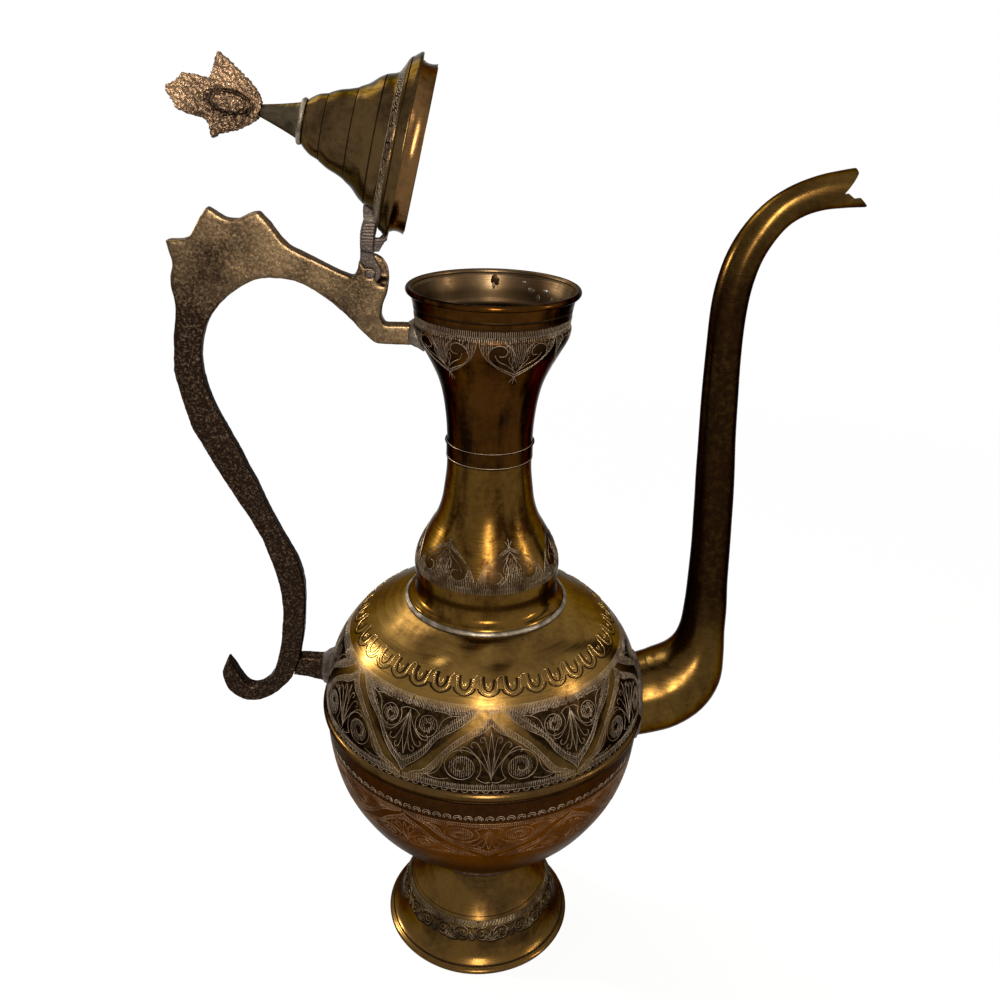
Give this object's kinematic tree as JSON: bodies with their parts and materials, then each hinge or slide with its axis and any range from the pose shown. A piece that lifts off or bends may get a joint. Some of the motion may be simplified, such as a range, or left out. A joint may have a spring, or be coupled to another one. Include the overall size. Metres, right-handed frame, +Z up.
{
  "type": "ewer",
  "caption": "Tall brass ewer: bell foot, round engraved bowl, flared neck, bent spout, flat crested handle and a domed lid that swings open on a rivet at the handle.",
  "frame": {"origin": "middle of the foot's underside, on the table", "axes": "+Z up along the axis of the bowl and neck, +X towards the spout, -X towards the handle, Y across"},
  "size_m": [0.2395, 0.1328, 0.364],
  "materials": {
    "turned_brass": "polished, aged",
    "engraved_brass": "polished, engraved by hand, dark in the cuts",
    "tube_brass": "polished, aged",
    "cast_brass": "cast, brown patina, worn bright on the crest",
    "dark_casting": "cast, filed, dark patina",
    "hammered_brass": "cast with a granular face",
    "pin_brass": "peened, dark",
    "solder": "dull tin solder"
  },
  "bodies": {
    "vessel": {"foot": "turned_brass", "foot_solder": "solder", "lower_bowl": "engraved_brass", "belly_band": "turned_brass", "upper_bowl": "engraved_brass", "neck_lower": "engraved_brass", "neck_solder": "solder", "neck_upper": "engraved_brass", "spout": "tube_brass", "spout_solder": "solder", "handle": "cast_brass", "handle_strut": "cast_brass", "handle_top_solder": "solder", "handle_strut_solder": "solder", "hinge_pin": "pin_brass"},
    "lid": {"lid_arm": "dark_casting", "lid_arm_solder": "solder", "lid_dome": "turned_brass", "lid_skirt": "turned_brass", "lid_stem": "turned_brass", "stem_solder": "solder", "hand_finial": "hammered_brass"}
  },
  "joints": [
    {"name": "lid_hinge", "type": "hinge", "parent": "vessel", "child": "lid", "pos_m": [-0.0427, 0, 0.294], "axis": [0, 1, 0], "range_deg": [0, 77.5]}
  ]
}
